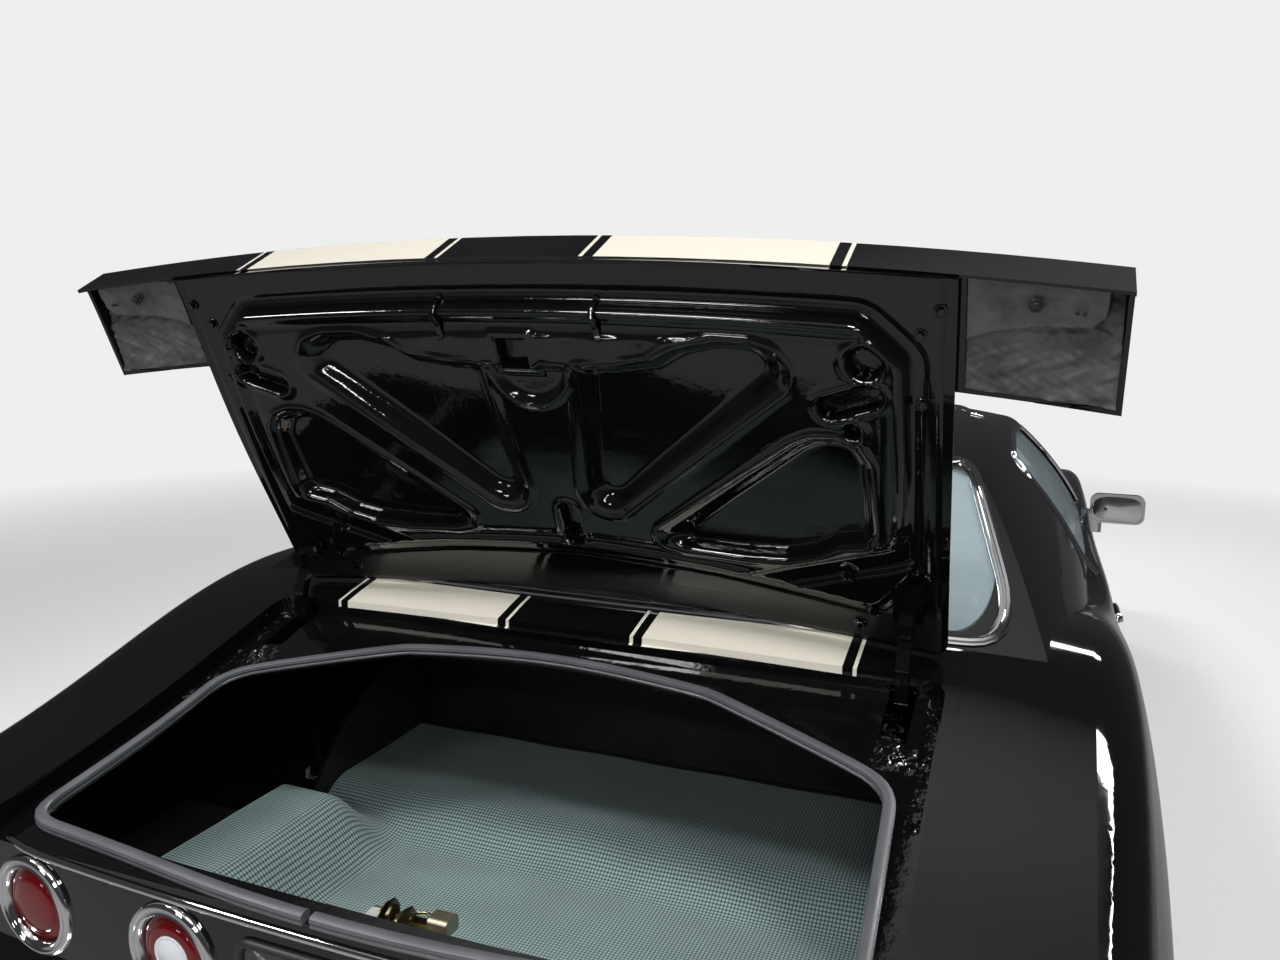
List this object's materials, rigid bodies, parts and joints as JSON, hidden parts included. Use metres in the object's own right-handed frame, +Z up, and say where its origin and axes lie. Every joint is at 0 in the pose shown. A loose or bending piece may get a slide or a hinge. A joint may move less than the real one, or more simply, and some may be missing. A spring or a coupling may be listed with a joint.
{
  "type": "muscle car",
  "caption": "Two-door coupe with a hinged boot lid and rear spoiler standing open over a lined boot, opening doors and bonnet, steered front wheels and free-rolling wheels.",
  "frame": {"origin": "on the ground below the middle of the car, halfway between the bumpers", "axes": "+X to the car's right, +Y to its front, +Z up"},
  "size_m": [2.072, 4.7793, 1.6233],
  "materials": {
    "body_paint": "gloss black paint with twin cream stripes",
    "bay_paint": "gloss black paint over pressed sheet",
    "underbody": "satin black underseal",
    "lamp_red": "deep red lens in a bright bezel",
    "lamp_clear": "clear ribbed glass",
    "chrome": "bright chrome plate",
    "black_trim": "satin black",
    "glass": "clear glass with a pale tint",
    "seal_rubber": "worn dark grey rubber",
    "zinc": "dull zinc and brass",
    "mat": "aqua-grey and black check mat",
    "cabin_trim": "grained black vinyl",
    "seat_vinyl": "black vinyl",
    "engine_iron": "painted iron",
    "tank_steel": "galvanised steel",
    "exhaust_steel": "dull steel",
    "wheel_alloy": "satin silver spokes",
    "tyre": "black tyre rubber"
  },
  "bodies": {
    "car": {"floor_pan": "underbody", "rocker_panels": "body_paint", "engine_bay": "bay_paint", "fender_left": "body_paint", "fender_right": "body_paint", "nose_panel": "body_paint", "cowl_panel": "body_paint", "quarter_left": "body_paint", "quarter_right": "body_paint", "deck_filler": "body_paint", "roof_panel": "body_paint", "tail_panel": "body_paint", "tail_lamps": "lamp_red", "bumpers": "chrome", "grille": "black_trim", "front_lamps": "lamp_clear", "screens": "glass", "boot_gutter": "bay_paint", "boot_seal": "seal_rubber", "boot_latch": "zinc", "boot_mat": "mat", "parcel_shelf": "cabin_trim", "front_seats": "seat_vinyl", "rear_seat": "seat_vinyl", "dashboard": "cabin_trim", "engine_block": "engine_iron", "front_subframe": "underbody", "rear_axle": "underbody", "leaf_springs": "underbody", "fuel_tank": "tank_steel", "exhaust": "exhaust_steel"},
    "lid": {"lid_skin": "body_paint", "lid_frame": "bay_paint", "lid_hinges": "bay_paint", "spoiler": "body_paint"},
    "door_left": {"door_left": "body_paint", "door_glass_left": "glass", "mirror_left": "chrome"},
    "door_right": {"door_right": "body_paint", "door_glass_right": "glass", "mirror_right": "chrome"},
    "bonnet": {"bonnet": "body_paint"},
    "knuckle_left": {"knuckle_left": "underbody"},
    "knuckle_right": {"knuckle_right": "underbody"},
    "steering_wheel": {"steering_wheel": "cabin_trim"},
    "wheel_front_left": {"wheel_front_left": "wheel_alloy", "tyre_front_left": "tyre"},
    "wheel_front_right": {"wheel_front_right": "wheel_alloy", "tyre_front_right": "tyre"},
    "wheel_rear_left": {"wheel_rear_left": "wheel_alloy", "tyre_rear_left": "tyre"},
    "wheel_rear_right": {"wheel_rear_right": "wheel_alloy", "tyre_rear_right": "tyre"}
  },
  "joints": [
    {"name": "lid", "type": "hinge", "parent": "car", "child": "lid", "pos_m": [0, -1.666, 0.934], "axis": [1, 0, 0], "range_deg": [0, 78]},
    {"name": "door_left", "type": "hinge", "parent": "car", "child": "door_left", "pos_m": [-0.931, 0.625, 0.6], "axis": [0, 0, 1], "range_deg": [-65, 0]},
    {"name": "door_right", "type": "hinge", "parent": "car", "child": "door_right", "pos_m": [0.931, 0.625, 0.6], "axis": [0, 0, 1], "range_deg": [0, 65]},
    {"name": "bonnet", "type": "hinge", "parent": "car", "child": "bonnet", "pos_m": [0, 0.8, 0.951], "axis": [1, 0, 0], "range_deg": [0, 50]},
    {"name": "steer_left", "type": "hinge", "parent": "car", "child": "knuckle_left", "pos_m": [-0.7, 1.427, 0.335], "axis": [0, 0, 1], "range_deg": [-33, 33]},
    {"name": "steer_right", "type": "hinge", "parent": "car", "child": "knuckle_right", "pos_m": [0.7, 1.427, 0.335], "axis": [0, 0, 1], "range_deg": [-33, 33]},
    {"name": "steering_wheel", "type": "hinge", "parent": "car", "child": "steering_wheel", "pos_m": [-0.39, 0.33, 0.8], "axis": [0, -0.9063, 0.4226], "range_deg": [-528, 528]},
    {"name": "roll_front_left", "type": "hinge", "parent": "knuckle_left", "child": "wheel_front_left", "pos_m": [-0.7785, 1.427, 0.335], "axis": [1, 0, 0], "continuous": true},
    {"name": "roll_front_right", "type": "hinge", "parent": "knuckle_right", "child": "wheel_front_right", "pos_m": [0.7785, 1.427, 0.335], "axis": [1, 0, 0], "continuous": true},
    {"name": "roll_rear_left", "type": "hinge", "parent": "car", "child": "wheel_rear_left", "pos_m": [-0.762, -1.316, 0.335], "axis": [1, 0, 0], "continuous": true},
    {"name": "roll_rear_right", "type": "hinge", "parent": "car", "child": "wheel_rear_right", "pos_m": [0.762, -1.316, 0.335], "axis": [1, 0, 0], "continuous": true}
  ],
  "couplings": [
    {"joint": "steer_right", "follows": "steer_left", "ratio": 1},
    {"joint": "steering_wheel", "follows": "steer_left", "ratio": 16}
  ]
}
